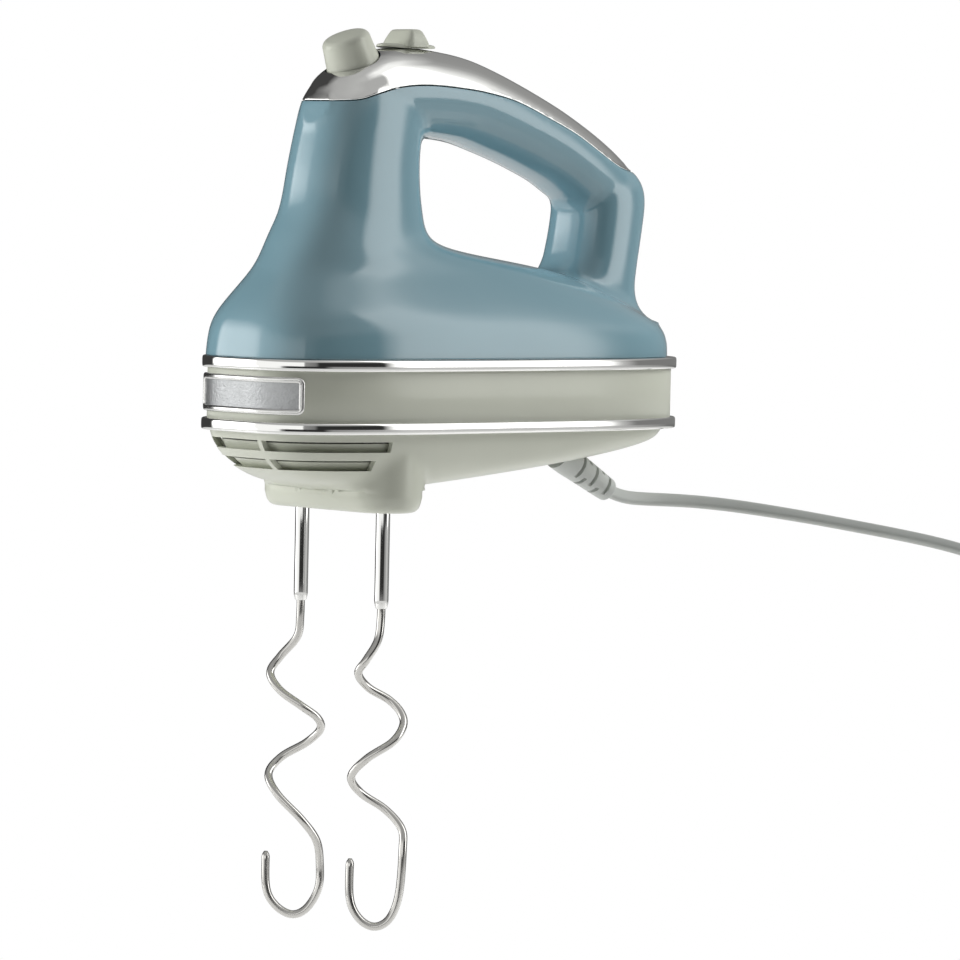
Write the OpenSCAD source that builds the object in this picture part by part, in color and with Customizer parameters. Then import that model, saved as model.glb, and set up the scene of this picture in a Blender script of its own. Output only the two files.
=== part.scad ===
// Hand mixer with two dough hooks, modelled in millimetres.
// The nose points to -X, the cord leaves at +X and +Z is up.
// The origin is the middle of the grip, where a hand holds it.
// In the tables below, X is counted from the widest point of the trim bands and
// heights from the top edge of the upper one.

/* [Body] */
// Length of the trim bands from nose to rear
body_l = 203.2; // [194:0.1:212]
// Width of the trim bands
body_w = 82; // [78:1:86]
// Height of each trim band
band_h = 4.3; // [3:0.1:5]
// Height of the belt between the bands
belt_h = 18.2; // [16:0.1:20]
// How far the bands stand out from the belt
band_step = 1.8; // [1:0.1:2.5]
// Wall of every plastic shell
wall = 2.2; // [1.8:0.1:2.6]

/* [Beaters] */
// Distance between the two spindle axes
spindle_gap = 44.6; // [43:0.1:46]
// Distance of the spindles ahead of the bands' widest point
spindle_x = 47.2; // [46:0.1:48]
// Diameter of a hook's sleeve
sleeve_d = 5.2; // [5:0.1:5.4]
// Radial running clearance of sleeves, shafts and rods
running = 0.06; // [0.03:0.01:0.1]
// Thickness of the hook wire
wire_d = 3; // [2.8:0.1:3.2]

/* [Motor] */
// Diameter of the rotor
rotor_d = 26; // [24:0.5:26.5]
// Diameter of the motor shaft
shaft_d = 5; // [4:0.5:6]
// Teeth on each worm wheel
wheel_teeth = 28; // [24:2:32]

/* [Lead] */
// Width of the mains lead
cord_d = 5.2; // [4.8:0.1:5.6]
// Diameter of the plug pins
pin_d = 4; // [4:0.1:4.8]
// Length of the plug pins
pin_l = 19; // [17:0.5:19]

/* [Hidden] */
$fn = 48;

blue = "#8fb0bf";
cream = "#d9d8c8";
chrome = "#d8dadb";
grey = "#b4b8b6";
copper = "#b06a3a";
steel = "#9a9ea2";
dark = "#3a3d40";

// middle of the grip, counted from the bands' widest point and the top of the upper band
grip_x = 15;
grip_z = 91;

rear_l = 103;       // rear end of the bands, counted from their widest point
nose_l = body_l - rear_l;
half_w = body_w / 2;
nose_power = 3.35;  // squareness of the outline ahead of its widest point
tail_power = 3.5;   // squareness of the outline behind it
belt_top = -band_h;
belt_bottom = belt_top - belt_h;
housing_top = belt_bottom - band_h;
boss_bottom = -55.5;
motor_z = -8;
spindle_y = spindle_gap / 2;

module from_grip() {
    translate([-grip_x, 0, -grip_z]) children();
}

// hands a shell built of lofts over as one smooth-shell mesh
module shell_mesh() {
    resize([0, 0, 0]) union() children();
}

// ---------- curves and lofts ----------

function signed_power(v, p) = sign(v) * pow(abs(v), p);

// smooth value at x through table rows [x, a, b, ...], by cubic pieces
function row_at(t, x, i = 0) =
    x <= t[0][0] ? t[0] :
    x >= t[len(t) - 1][0] ? t[len(t) - 1] :
    x <= t[i + 1][0] ? blend_rows(t, i, (x - t[i][0]) / (t[i + 1][0] - t[i][0])) :
    row_at(t, x, i + 1);
function row_slope(t, i) =
    let (a = max(i - 1, 0), b = min(i + 1, len(t) - 1)) (t[b] - t[a]) / (t[b][0] - t[a][0]);
function blend_rows(t, i, s) =
    let (h = t[i + 1][0] - t[i][0])
    t[i] * (2 * pow(s, 3) - 3 * s * s + 1) + row_slope(t, i) * h * (pow(s, 3) - 2 * s * s + s)
    + t[i + 1] * (3 * s * s - 2 * pow(s, 3)) + row_slope(t, i + 1) * h * (pow(s, 3) - s * s);

// rounded outline between x = front and x = rear, with its widest point at x = middle
function outline(front, rear, middle, half, p_front, p_rear, count) = [
    for (i = [0 : count - 1])
        let (a = 360 * i / count, ahead = cos(a) < 0, p = ahead ? p_front : p_rear)
        [middle + (ahead ? middle - front : rear - middle) * signed_power(cos(a), 2 / p),
         half * signed_power(sin(a), 2 / p)]
];

// skins a list of closed rings of equal length
module loft(rings) {
    n = len(rings[0]);
    m = len(rings);
    polyhedron(
        points = [for (r = rings) each r],
        faces = concat(
            [[for (i = [0 : n - 1]) i]],
            [for (k = [0 : m - 2]) for (i = [0 : n - 1])
                let (j = (i + 1) % n) each [
                    [k * n + i, (k + 1) * n + i, (k + 1) * n + j],
                    [k * n + i, (k + 1) * n + j, k * n + j]]],
            [[for (i = [n - 1 : -1 : 0]) (m - 1) * n + i]]
        ),
        convexity = 6
    );
}

// stack of level outlines from table rows [z, front, rear, middle, half width, power]
module level_loft(table, levels, inset = 0, count = 40) {
    loft([for (z = levels)
        let (r = row_at(table, z))
        [for (p = outline(r[1] + inset, r[2] - inset, r[3], r[4] - inset, r[5], r[5], count))
            [p[0], p[1], z]]]);
}

// row of upright sections along X from table rows [x, top, bottom, half width]
module grip_loft(table, places, inset = 0, count = 32) {
    p = 2 / 2.4;
    loft([for (x = places)
        let (r = row_at(table, x), mid = (r[1] + r[2]) / 2, h = (r[1] - r[2]) / 2 - inset,
             w = r[3] - inset)
        [for (i = [0 : count - 1])
            let (a = 360 * i / count)
            [x, w * signed_power(cos(a), p), mid + h * signed_power(sin(a), p)]]]);
}

// round tube of n sides swept along a list of points
function unit(v) = v / norm(v);
function along(path, i) = unit(path[min(i + 1, len(path) - 1)] - path[max(i - 1, 0)]);
module swept_tube(path, r, n, aside = [0, 1, 0]) {
    loft([for (i = [0 : len(path) - 1])
        let (t = along(path, i), u = unit(cross(t, aside)), v = cross(t, u))
        [for (k = [0 : n - 1])
            path[i] + r * (cos(-360 * k / n) * u + sin(-360 * k / n) * v)]]);
}

// points every 1/steps between the given ones, on a smooth curve through them
function smooth_path(p, steps) = concat(
    [for (i = [0 : len(p) - 2]) for (s = [0 : steps - 1])
        let (f = s / steps, a = p[max(i - 1, 0)], b = p[i], c = p[i + 1],
             d = p[min(i + 2, len(p) - 1)])
        0.5 * (2 * b + (c - a) * f + (2 * a - 5 * b + 4 * c - d) * f * f
               + (3 * b - a - 3 * c + d) * f * f * f)],
    [p[len(p) - 1]]);

// ---------- shell tables ----------

// domed base and front pillar: z, front, rear, widest x, half width, power
dome = [
    [0, -98.8, 98.8, 0, 39.2, 3.5],
    [6, -98.2, 98.4, 0, 39, 3.5],
    [12, -97.2, 95.4, -2, 38.2, 3.4],
    [17, -95.2, 85.9, -6, 36.2, 3.2],
    [24, -90.4, 72.2, -14, 31.8, 2.95],
    [31, -85.1, 51.7, -24, 27, 2.75],
    [35, -82.8, 28, -34, 24.8, 2.6],
    [39, -80.4, -4, -43, 22.8, 2.6],
    [43, -78.4, -15, -46, 21.6, 2.6],
    [53, -73.2, -19, -46, 20, 2.6],
    [70, -69.6, -20.6, -45, 19, 2.6],
    [83, -66.6, -19, -43, 18.4, 2.6],
    [93, -63.8, -16, -41, 17.6, 2.6],
    [98, -61, -16, -40, 16, 2.6]
];
dome_levels = [0, 4, 8, 12, 15, 18, 21, 24, 27, 29.5, 32, 34, 36, 38, 40, 43, 48, 54, 62, 70, 78, 86, 93, 98];

// rear post
post = [
    [13, 46, 95, 72, 26, 2.6],
    [17, 52, 91.5, 72, 20.5, 2.6],
    [24, 56.2, 90, 73, 17.3, 2.6],
    [32, 57.4, 90.8, 74, 16.8, 2.6],
    [46, 60.6, 93.4, 77, 16.3, 2.6],
    [58, 62, 95.2, 78.5, 16, 2.6],
    [64, 61, 94.2, 78, 15.4, 2.6],
    [68, 63, 91.8, 78, 13.6, 2.6],
    [71, 67, 88.6, 78, 11, 2.6]
];
post_levels = [13, 15, 17, 20, 24, 32, 40, 48, 56, 61, 65, 68, 71];

// open mouths of the dome and of the lower housing
shell_mouth = [[-1, -96.6, 96.6, 0, 37, 3.5], [3, -96.6, 96.6, 0, 37, 3.5]];

// grip: x, top, bottom, half width
grip = [
    [-62.5, 96.5, 91, 4],
    [-60, 99.4, 89, 9.5],
    [-55, 103.6, 86, 13.6],
    [-48, 107.4, 82.5, 16],
    [-38, 111.2, 80, 17.3],
    [-24, 112.8, 79.6, 17.5],
    [-10, 111.9, 79.8, 17.3],
    [4, 109.8, 78.4, 17],
    [17, 106, 75.1, 16.8],
    [29, 101.7, 71.5, 16.6],
    [40, 97.4, 67.6, 16.4],
    [50, 93.2, 63.6, 16.2],
    [60, 88.4, 58, 16],
    [70, 83.1, 53, 15.6],
    [80, 76.8, 50, 14.6],
    [87, 71.4, 50, 12.4],
    [92, 66, 52, 8.6],
    [94.6, 61.5, 55, 4]
];
grip_places = [-62.5, -60, -57, -53, -48, -42, -35, -27, -18, -9, 1, 11, 20, 29, 38, 46, 54, 62, 70, 76,
    81, 85, 88.5, 92, 94.6];

// seam between the grip and its bright trim, seen from the side
seam = [
    [-75, 92.3], [-57, 92.8], [-47, 95.6], [-37, 98], [-25, 98.9], [-10, 98.4], [5, 97],
    [21, 94], [37, 88.5], [53, 82.3], [66, 75.6], [76, 71], [84, 69.7], [100, 69.4]
];

// lower housing: z, front, rear, widest x, half width, power
hull = [
    [-47.6, -62, -36, -47, 20, 2.4],
    [-46.5, -71, -20, -46, 24, 2.5],
    [-44, -80, 6, -40, 28.5, 2.7],
    [-40.5, -87.4, 37.4, -25, 32.8, 2.9],
    [-37.5, -90.9, 58.9, -12, 35.4, 3.1],
    [-34.5, -93.1, 77.3, -4, 37, 3.3],
    [-31, -95.1, 92.1, 0, 38.2, 3.45],
    [-26.8, -96.4, 96.8, 0, 38.8, 3.5]
];
housing_mouth = [
    [housing_top - 2, -94.2, 94.6, 0, 36.6, 3.5],
    [housing_top + 1, -94.2, 94.6, 0, 36.6, 3.5]
];
hull_levels = [-47.6, -46.5, -45, -43, -40.5, -38, -35.5, -33, -30, -26.8];

module handle_solid(inset = 0) {
    level_loft(dome, dome_levels, inset, 36);
    level_loft(post, post_levels, inset, 24);
    grip_loft(grip, grip_places, inset, 28);
}

// everything above the seam, moved up by lift
module above_seam(lift = 0) {
    translate([0, 60, lift]) rotate([90, 0, 0]) linear_extrude(120)
        polygon(concat([for (p = [-75 : 5 : 100]) [p, row_at(seam, p)[1]]], [[100, 160], [-75, 160]]));
}

module upper_shell() from_grip() color(blue) shell_mesh() difference() {
    handle_solid();
    handle_solid(wall);
    level_loft(shell_mouth, [-1, 3], 0, 36);
    above_seam();
}

module handle_trim() from_grip() color(chrome) shell_mesh() difference() {
    intersection() {
        handle_solid();
        above_seam(0.3);
    }
    handle_solid(wall);
    eject_axis() cylinder(d = 23, h = 30, center = true);
    translate([-26, -3, 105]) cube([22, 6, 20]);
}

module band_ring(z, h, out, thick) {
    translate([0, 0, z]) linear_extrude(h) difference() {
        polygon(outline(-nose_l + out, rear_l - out, 0, half_w - out, nose_power, tail_power, 144));
        polygon(outline(-nose_l + out + thick, rear_l - out - thick, 0, half_w - out - thick,
            nose_power, tail_power, 144));
    }
}

module upper_band() from_grip() color(chrome) band_ring(belt_top, band_h, 0, 4.4);

module lower_band() from_grip() color(chrome) band_ring(housing_top, band_h, 0, 4.4);

module belt() from_grip() color(cream) band_ring(belt_bottom, belt_h, band_step, wall);

// lower housing without its cavity, made smaller by inset
module hull_solid(inset = 0) {
    level_loft(hull, hull_levels, inset, 48);
    translate([-spindle_x, 0, boss_bottom + inset]) hull() {
        for (y = [-spindle_y, spindle_y]) translate([0, y, 0]) {
            cylinder(r = 11 - inset, h = 1, $fn = 32);
            translate([0, 0, 4]) cylinder(r = 14 - inset, h = 20 - inset, $fn = 32);
        }
    }
}

screw_spots = [[-66, -19], [-66, 19], [-29, -19], [-29, 19]];
vent_rows = [-32.4, -39.2];

module lower_housing() from_grip() color(cream) shell_mesh() {
    difference() {
        hull_solid();
        hull_solid(wall);
        level_loft(housing_mouth, [housing_top - 2, housing_top + 1], 0, 48);
        for (z = vent_rows) for (cut = [[-50, 42], [-6, 12], [8, 42]])
            translate([-112, cut[0], z]) cube([58, cut[1], 3.8]);
        for (y = [-spindle_y, spindle_y])
            translate([-spindle_x, y, boss_bottom - 1]) cylinder(r = 3.4, h = 6, $fn = 32);
        relief_axis() cylinder(r = relief_root + 0.4, h = 80, center = true, $fn = 32);
    }
    intersection() {
        hull_solid();
        for (p = screw_spots) translate([p[0], p[1], -50]) difference() {
            cylinder(r = 3.6, h = 30, $fn = 20);
            translate([0, 0, 15]) cylinder(r = 1.7, h = 20, $fn = 20);
        }
    }
}

// plate on the nose, standing out of the belt by stand
badge_half = 26;
badge_low = belt_bottom + 2.6;
badge_high = belt_top - 2;
frame_w = 2.4;
module nose_plate(stand, inset) {
    intersection() {
        band_ring(belt_bottom, belt_h, band_step - stand, stand);
        translate([-112, 0, 0]) rotate([90, 0, 90]) linear_extrude(40)
            offset(r = 2.5) translate([-badge_half + inset + 2.5, badge_low + inset + 2.5])
                square([2 * (badge_half - inset) - 5, badge_high - badge_low - 2 * inset - 5]);
    }
}

module badge_frame() from_grip() color(chrome) difference() {
    nose_plate(1.4, 0);
    nose_plate(1.4, frame_w);
}

module badge_plate() from_grip() color(steel) nose_plate(0.7, frame_w);

// ---------- eject button and ejector ----------

button_tilt = 24;
button_top = [-51, 0, 116.4];
button_l = 20;
rod_r = 3;
rod_top = 94.7;

// the button's own axis, pointing out of its top
module eject_axis() {
    translate(button_top) rotate([0, -button_tilt, 0]) children();
}

module eject_button() from_grip() color(cream) eject_axis() rotate_extrude() polygon(concat(
    [[0, 0.6], [5, 0.3]],
    [for (a = [0 : 15 : 90]) [6.2 + 2.8 * sin(a), -2.9 + 2.8 * cos(a)]],
    [[10, -12], [10, -button_l], [0, -button_l]]));

module eject_rod() from_grip() color(steel) {
    translate([-spindle_x, 0, 15]) cylinder(r = rod_r, h = rod_top - 15);
    translate([-spindle_x, 0, 60]) cylinder(r = 7, h = 3);
}

module eject_crosshead() from_grip() color(dark) {
    translate([-spindle_x, 0, 12]) linear_extrude(3) hull()
        for (y = [-spindle_y, spindle_y]) translate([0, y]) circle(5);
    for (y = [-spindle_y, spindle_y]) translate([-spindle_x, y, -9]) cylinder(r = 2.2, h = 21);
}

module eject_spring() from_grip() color(steel) swept_tube(
    [for (i = [0 : 72]) [-spindle_x + 5.6 * cos(30 * i), 5.6 * sin(30 * i), 30.8 + 20.4 * i / 72]],
    0.6, 6, [0, 0, 1]);

module eject_guide() from_grip() color(cream) difference() {
    translate([-68, -14, 26]) cube([40, 28, 4]);
    translate([-spindle_x, 0, 25]) cylinder(r = rod_r + running, h = 6);
}

// ---------- speed switch ----------

slider_x = -21;

module speed_slider() from_grip() color(cream) translate([slider_x, 0, 0]) {
    translate([0, 0, 113.3]) linear_extrude(1.2) hull()
        for (x = [-6, 6]) translate([x, 0]) circle(6.5);
    translate([0, 8, 114.5]) rotate([90, 0, 0]) linear_extrude(16)
        polygon([[-6, 0], [-3.4, 4.2], [-2.2, 5], [2.6, 5], [3.8, 4.2], [6, 0]]);
    translate([-2, -2, 94]) cube([4, 4, 19.3]);
}

module switch_body() from_grip() color(dark) difference() {
    translate([-27, -9, 84]) cube([25, 18, 12.5]);
    translate([-24.6, -2.6, 93]) cube([19.4, 5.2, 4]);
}

// ---------- gearbox ----------

spindle_r = 4;
bush_r = 6;
bush_top = -12.4;
bush_bottom = -46;
plate_z = -20;
bearing_r = 5;

module on_spindle(side) {
    translate([-spindle_x, side * spindle_y, 0]) children();
}

// round bar or tube along the motor shaft
module on_shaft(from, to, r, hole = 0) {
    translate([from, 0, motor_z]) rotate([0, 90, 0]) difference() {
        cylinder(r = r, h = to - from);
        if (hole > 0) translate([0, 0, -1]) cylinder(r = hole, h = to - from + 2);
    }
}

module gearbox_frame() from_grip() color(steel) difference() {
    union() {
        translate([0, 0, plate_z]) linear_extrude(4)
            polygon(outline(-76, -20, -47, 32, 2.8, 2.8, 64));
        for (s = [-1, 1]) on_spindle(s) translate([0, 0, bush_bottom])
            cylinder(r = 8.5, h = plate_z - bush_bottom);
        translate([-68, -7, plate_z + 4]) cube([4, 14, 16]);
        translate([-26, -11, plate_z + 4]) cube([4, 22, 16]);
    }
    for (s = [-1, 1]) on_spindle(s) translate([0, 0, -60]) cylinder(r = bush_r, h = 60);
    on_shaft(-80, -10, bearing_r);
    on_shaft(-61.5, -33.5, worm_r + 0.6);
    for (p = screw_spots) translate([p[0], p[1], plate_z - 1]) cylinder(r = 1.7, h = 6);
}

module bushing(side) from_grip() color("#b89a5a") on_spindle(side) difference() {
    translate([0, 0, bush_bottom]) cylinder(r = bush_r, h = bush_top - bush_bottom);
    translate([0, 0, -60]) cylinder(r = spindle_r + running, h = 60);
}
module left_bushing() bushing(1);
module right_bushing() bushing(-1);

module spindle(side) from_grip() color(steel) on_spindle(side) difference() {
    union() {
        translate([0, 0, -49.5]) cylinder(r = spindle_r, h = 50.5);
        translate([0, 0, -49.5]) cylinder(r = 5.4, h = 3);
    }
    translate([0, 0, -60]) cylinder(r = sleeve_d / 2 + running, h = 70);
}
module left_spindle() spindle(1);
module right_spindle() spindle(-1);

wheel_r = 12.2;
wheel_pitch = 2 * PI * (wheel_r - 0.75) / wheel_teeth;
worm_l = 25;
worm_r = spindle_y - wheel_r - 0.3;
module worm_wheel(side) from_grip() color("#e6e2d2") on_spindle(side) translate([0, 0, -12])
    linear_extrude(8) difference() {
        polygon([for (i = [0 : wheel_teeth - 1]) for (f = [[0, -1.5], [0.28, -1.5], [0.42, 0], [0.86, 0]])
            let (a = 360 * (i + f[0]) / wheel_teeth) (wheel_r + f[1]) * [cos(a), sin(a)]]);
        circle(r = spindle_r);
    }
module left_worm_wheel() worm_wheel(1);
module right_worm_wheel() worm_wheel(-1);

// ---------- dough hooks ----------

sleeve_top = -11;
sleeve_end = -90.5;
wire_top = -72;

module sleeve(side) from_grip() color(chrome) on_spindle(side) difference() {
    union() {
        translate([0, 0, sleeve_end + 2.5]) cylinder(d = sleeve_d, h = sleeve_top - sleeve_end - 2.5);
        translate([0, 0, sleeve_end]) cylinder(d1 = wire_d + 0.8, d2 = sleeve_d, h = 2.5);
    }
    translate([0, 0, sleeve_end - 1]) cylinder(d = wire_d + 0.04, h = wire_top - sleeve_end + 1);
}
module left_sleeve() sleeve(1);
module right_sleeve() sleeve(-1);

// bends of each wire: sideways, depth, height
left_bends = [
    [0, 0, -72], [0, 0, -84], [0, 0, -96], [-1, 1, -104], [-7, 3, -111.5], [-10.7, 1, -117.5],
    [-7, -3, -123.5], [1, -5, -129], [7, -3, -133.5], [8.2, 0, -138], [3, 4, -143.5],
    [-6, 5, -149], [-10.6, 1, -155], [-7, -4, -162], [2, -5, -171], [7.6, -2, -179],
    [9, 0, -188], [8.6, 0, -197], [4.4, 0, -204.4], [-1, 0, -206.8], [-7, 0, -203.6],
    [-10.6, 0, -197], [-11, 0, -183.5]
];
right_bends = [
    [0, 0, -72], [0, 0, -84], [0, 0, -94], [-1, -1, -102], [-5, -3, -109], [-7.8, -1, -114],
    [-4, 3, -119.5], [3.5, 5, -124], [8, 3, -128.5], [8.8, 0, -133], [5, -4, -138.5],
    [-4, -5, -144.5], [-9.6, -1, -151.5], [-6, 4, -158], [3, 5, -164], [9, 2, -170.5],
    [9.6, 0, -178], [8.6, 0, -194], [5.4, 0, -203], [0, 0, -206.2], [-5.6, 0, -203.4],
    [-9.2, 0, -196], [-9.4, 0, -181.5]
];
hook_turn = -42;

module hook(side, bends) from_grip() color(chrome) on_spindle(side) rotate([0, 0, hook_turn])
    swept_tube(smooth_path(bends, 3), wire_d / 2, 10);
module left_hook() hook(1, left_bends);
module right_hook() hook(-1, right_bends);

// ---------- motor ----------

shaft_r = shaft_d / 2;

module motor_shaft() from_grip() color(steel) on_shaft(-70, 60, shaft_r);

module worm() from_grip() color("#c9b27a") difference() {
    translate([-60, 0, motor_z]) rotate([0, 90, 0])
        linear_extrude(worm_l, twist = 360 * worm_l / (2 * wheel_pitch), slices = 48)
            scale([worm_r / (worm_r - 1.8), 1]) circle(worm_r - 1.8, $fn = 14);
    on_shaft(-62, -30, shaft_r);
}

module cooling_fan() from_grip() color(cream) difference() {
    union() {
        on_shaft(-18, -16.6, 20);
        on_shaft(-18, -8, 5.5);
        for (a = [0 : 40 : 359]) translate([-17, 0, motor_z]) rotate([a, 0, 0])
            translate([0, -0.7, 4]) cube([8, 1.4, 15]);
    }
    on_shaft(-20, 0, shaft_r);
}

module rotor_core() from_grip() color(steel) difference() {
    on_shaft(3, 27, rotor_d / 2, shaft_r);
    for (a = [0 : 30 : 359]) translate([2, 0, motor_z]) rotate([a, 0, 0])
        translate([0, -1, rotor_d / 2 - 4.5]) cube([26, 2, 6]);
}

module rotor_windings() from_grip() color(copper) {
    on_shaft(-2, 3, 11, shaft_r);
    on_shaft(27, 32, 11, shaft_r);
}

module commutator() from_grip() color(copper) difference() {
    on_shaft(34, 46, 8, shaft_r);
    for (a = [0 : 30 : 359]) translate([33, 0, motor_z]) rotate([a, 0, 0])
        translate([0, -0.3, 7]) cube([14, 0.6, 2]);
}

module bearing(from, to) from_grip() color("#b89a5a") on_shaft(from, to, bearing_r, shaft_r + running);
module nose_bearing() bearing(-68, -64);
module front_bearing() bearing(-26, -21);
module rear_bearing() bearing(50, 56);

module rear_bracket() from_grip() color(steel) difference() {
    translate([50, -20, motor_z - 15]) cube([3, 40, 30]);
    on_shaft(48, 60, bearing_r);
}

module field_core() from_grip() color(steel) difference() {
    translate([2, -25, motor_z - 22]) cube([26, 50, 44]);
    on_shaft(0, 30, 13.6);
    for (y = [14.9, -21.6]) translate([1, y, motor_z - 8]) cube([28, 6.7, 16]);
}

module field_coils() from_grip() color(copper) difference() {
    union() {
        on_shaft(-3, 1.8, 22, 14.2);
        on_shaft(28.2, 33, 22, 14.2);
        for (y = [15.2, -21.3]) translate([-1, y, motor_z - 7.7]) cube([32, 6.1, 15.4]);
    }
    translate([-5, -30, motor_z - 0.6]) cube([40, 60, 1.2]);
}

module brush_holders() from_grip() color("#b89a5a") for (s = [0, 1]) mirror([0, s, 0]) difference() {
    union() {
        translate([36.4, 9, motor_z - 4.5]) cube([7.2, 17, 9]);
        translate([43.6, 20, motor_z - 4]) cube([6.4, 4, 8]);
    }
    translate([37.4, 8, motor_z - 3.4]) cube([5.2, 16.8, 6.8]);
}

module carbon_brushes() from_grip() color(dark) for (s = [0, 1]) mirror([0, s, 0])
    translate([37.5, 8.1, motor_z - 3.3]) cube([5, 9.4, 6.6]);

module brush_springs() from_grip() color(steel) for (s = [0, 1]) mirror([0, s, 0])
    translate([40, 0, motor_z]) swept_tube(
        [for (i = [0 : 32]) [1.8 * cos(45 * i), 17.9 + 6.5 * i / 32, 1.8 * sin(45 * i)]],
        0.35, 6, [0, 1, 0]);

module control_board() from_grip() color("#3f6b4a") {
    translate([58, -18, -14]) cube([30, 36, 1.6]);
    translate([62, -14, -12.4]) cube([9, 6, 7]);
    translate([80, -10, -12.4]) cylinder(r = 4, h = 12);
}

module terminal_block() from_grip() color(cream) translate([70, 0, -12.4]) difference() {
    cube([8, 14, 8]);
    for (y = [3.5, 10.5]) translate([-1, y, 4]) rotate([0, 90, 0]) cylinder(r = 1.6, h = 10);
}

module cord_clamp() from_grip() color(dark) translate([40, -7, -34]) cube([7, 14, 6]);

module housing_screws() from_grip() color(steel) for (p = screw_spots) translate([p[0], p[1], 0]) {
    translate([0, 0, -30]) cylinder(r = 1.5, h = 14);
    translate([0, 0, -16]) cylinder(r = 3, h = 2.4);
}

// ---------- strain relief and lead ----------

relief_tilt = 28.5;
relief_end = [87, 0, -51.9];
relief_l = 33;
relief_root = 6;
relief_tip = 4.4;

// along the relief, pointing out of its free end
module relief_axis() {
    translate(relief_end) rotate([0, 90 + relief_tilt, 0]) children();
}

module strain_relief() from_grip() color(grey) relief_axis() difference() {
    union() {
        translate([0, 0, -25]) cylinder(r1 = relief_root - 0.2, r2 = relief_tip, h = 25);
        translate([0, 0, -relief_l]) cylinder(r = relief_root - 0.2, h = relief_l - 25);
    }
    for (z = [-20 : 4 : -4]) for (s = [0, 180]) rotate([0, 0, s + (z % 8 == 0 ? 0 : 90)])
        translate([2.9, -8, z - 1.2]) cube([8, 16, 1.6]);
}

// the lead's route from the relief to the coil
cord_route = [
    [87, 0, -51.9], [92, 0, -54], [98, -0.5, -55], [106, -1.5, -55.6], [116, -4, -56],
    [128, -9, -56.8], [140, -16, -58.2], [152, -25, -60.2], [164, -36, -62.6], [175, -48, -65.2],
    [185, -61, -67.8], [194, -75, -70.8], [201, -88, -74.5], [206, -98.5, -80], [209, -106, -87.5],
    [210.5, -110.5, -96.5], [211, -112, -106], [211, -112, -114]
];
coil_r = 28;
coil_depth = 5.3;    // half the winding's depth across the ring
coil_thick = 5.6;    // half the winding's thickness along the ring's axis
coil_middle = [211, -128.4, -142.4];
plug_r = 6.5;
plug_l = 34;
plug_top = [225.7, -111.6, -139.6];
pin_gap = 18.6;

// from the coil over to the top of the plug
tail_turn = 20.4;
tail_route = concat(
    [[215, -151, -155], [220, -152.2, -148]],
    [for (a = [0 : 20 : 180])
        [plug_top[0], plug_top[1] - tail_turn * (1 + cos(a)), plug_top[2] + tail_turn * sin(a)]]);

module cord() from_grip() color(grey) {
    swept_tube(smooth_path(cord_route, 2), cord_d / 2, 10);
    swept_tube(smooth_path(tail_route, 1), cord_d / 2, 10, [1, 0, 0]);
}

module at_coil() {
    translate(coil_middle) rotate([0, 90, 0]) children();
}

module cord_coil() from_grip() color(grey) at_coil() rotate_extrude()
    translate([coil_r, 0]) scale([coil_depth / coil_thick, 1]) circle(coil_thick);

module coil_tie() from_grip() color(dark) at_coil() translate([0, coil_r, 0]) rotate([0, 90, 0])
    linear_extrude(6, center = true) difference() {
        square([2 * coil_thick + 3, 2 * coil_depth + 3], center = true);
        square([2 * coil_thick + 0.8, 2 * coil_depth + 0.8], center = true);
    }

module plug_body() from_grip() color(grey) translate(plug_top) translate([0, 0, -plug_l])
    linear_extrude(plug_l) for (y = [-1, 1]) {
        translate([0, y * (pin_gap / 2 + 1.5)]) circle(plug_r);
        translate([-plug_r, -pin_gap / 2 - 1.5]) square([2 * plug_r, pin_gap + 3]);
    }

module plug_pins() from_grip() color(chrome) for (y = [-pin_gap / 2, pin_gap / 2])
    translate(plug_top) translate([0, y, -plug_l - pin_l]) cylinder(d = pin_d, h = pin_l);

upper_shell();
handle_trim();
upper_band();
belt();
lower_band();
lower_housing();
badge_frame();
badge_plate();
eject_button();
eject_rod();
eject_crosshead();
eject_spring();
eject_guide();
speed_slider();
switch_body();
gearbox_frame();
left_bushing();
right_bushing();
left_spindle();
right_spindle();
left_worm_wheel();
right_worm_wheel();
left_sleeve();
right_sleeve();
left_hook();
right_hook();
motor_shaft();
worm();
cooling_fan();
rotor_core();
rotor_windings();
commutator();
nose_bearing();
front_bearing();
rear_bearing();
rear_bracket();
field_core();
field_coils();
brush_holders();
carbon_brushes();
brush_springs();
control_board();
terminal_block();
cord_clamp();
housing_screws();
strain_relief();
cord();
cord_coil();
coil_tie();
plug_body();
plug_pins();
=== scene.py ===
import itertools
import math
import bmesh
import bpy
import numpy as np
from mathutils import Matrix, Vector


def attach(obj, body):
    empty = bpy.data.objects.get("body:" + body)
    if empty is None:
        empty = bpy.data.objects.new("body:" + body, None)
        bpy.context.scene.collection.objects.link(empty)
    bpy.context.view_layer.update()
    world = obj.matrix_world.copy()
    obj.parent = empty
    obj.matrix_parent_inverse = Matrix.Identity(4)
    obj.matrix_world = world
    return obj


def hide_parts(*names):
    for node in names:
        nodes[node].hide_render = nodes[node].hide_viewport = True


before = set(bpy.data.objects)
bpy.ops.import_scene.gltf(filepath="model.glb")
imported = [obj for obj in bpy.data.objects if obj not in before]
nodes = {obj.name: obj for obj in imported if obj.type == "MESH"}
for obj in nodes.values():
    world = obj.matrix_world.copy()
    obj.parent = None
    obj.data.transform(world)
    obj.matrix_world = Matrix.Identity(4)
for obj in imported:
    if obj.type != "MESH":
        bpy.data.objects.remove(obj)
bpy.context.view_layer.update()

# Tables and points below are in millimetres, counted from the widest point of the trim bands
# and the top edge of the upper band, as in the CAD. to_row turns them into the row frame.
GRIP_MIDDLE = np.array([15.0, 0.0, 91.0])


def to_row(points):
    return (np.asarray(points, float) - GRIP_MIDDLE) / 1000


# ---------------------------------------------------------------- camera

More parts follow.
